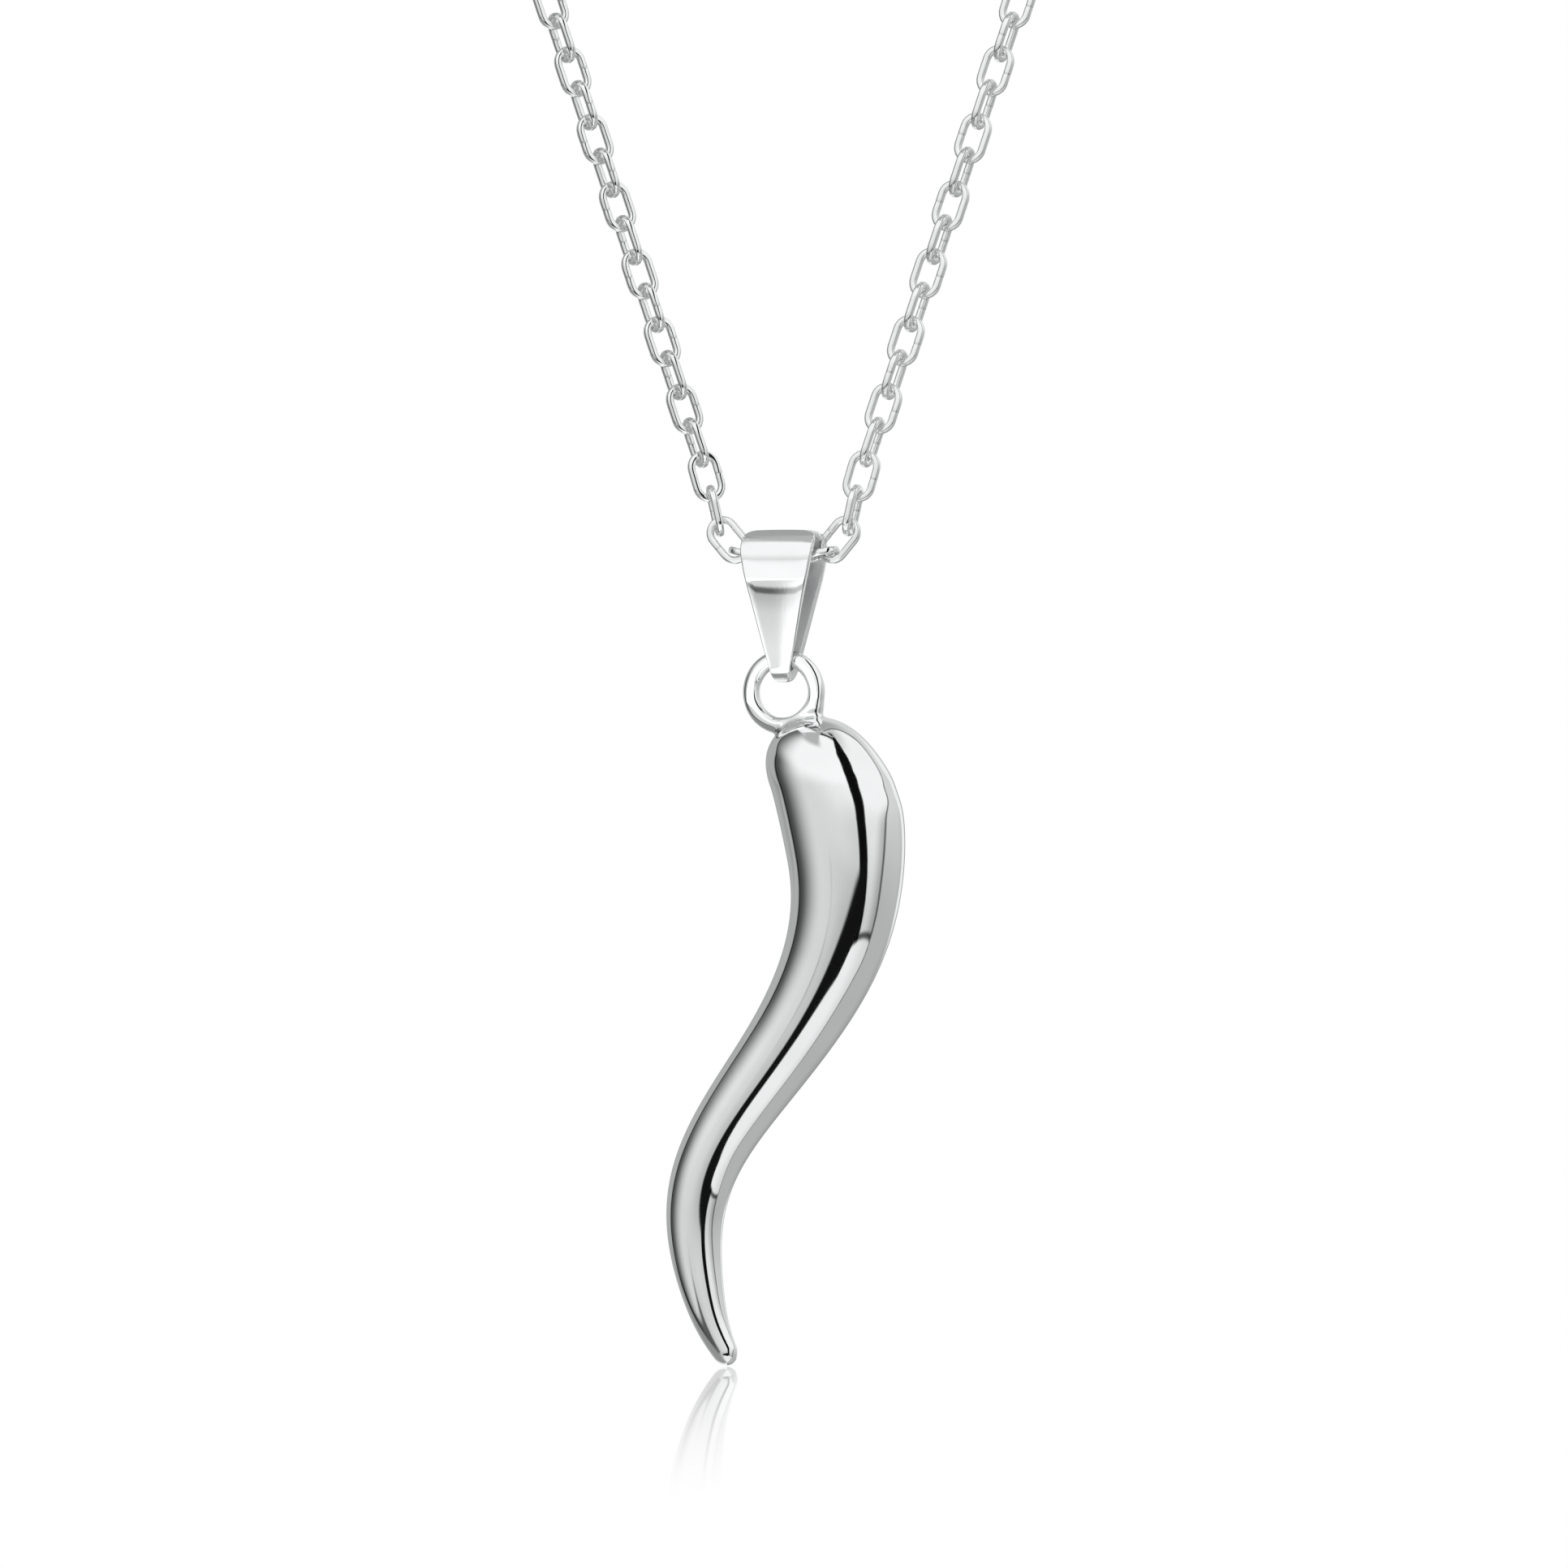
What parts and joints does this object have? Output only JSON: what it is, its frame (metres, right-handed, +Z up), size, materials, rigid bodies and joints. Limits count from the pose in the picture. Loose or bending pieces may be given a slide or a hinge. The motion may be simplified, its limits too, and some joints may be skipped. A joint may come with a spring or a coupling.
{
  "type": "cornicello horn pendant necklace",
  "caption": "Curved horn charm with a cast loop, hanging from a tapered strap bail on a closed fine oval-link cable chain with a plain clasp at the nape.",
  "frame": {"origin": "middle of the clasp, where the chain lies on the nape", "axes": "+Z up, -Y to the wearer's front, where the horn hangs, +X to the right in the picture"},
  "size_m": [0.0916, 0.0884, 0.1814],
  "materials": {
    "polished_silver": "mirror-polished rhodium-plated silver",
    "chain_silver": "bright polished silver wire"
  },
  "bodies": {
    "necklace": {"chain_left": "chain_silver", "chain_right": "chain_silver", "clasp": "chain_silver"},
    "bail": {"bail": "polished_silver"},
    "horn": {"horn": "polished_silver"}
  },
  "joints": [
    {"name": "bail_swing", "type": "hinge", "parent": "necklace", "child": "bail", "pos_m": [0, -0.083, -0.137], "axis": [0.9511, -0.309, 0], "range_deg": [-75, 75]},
    {"name": "horn_swing", "type": "hinge", "parent": "bail", "child": "horn", "pos_m": [0, -0.083, -0.1441], "axis": [0.309, 0.9511, 0], "range_deg": [-70, 70]}
  ]
}
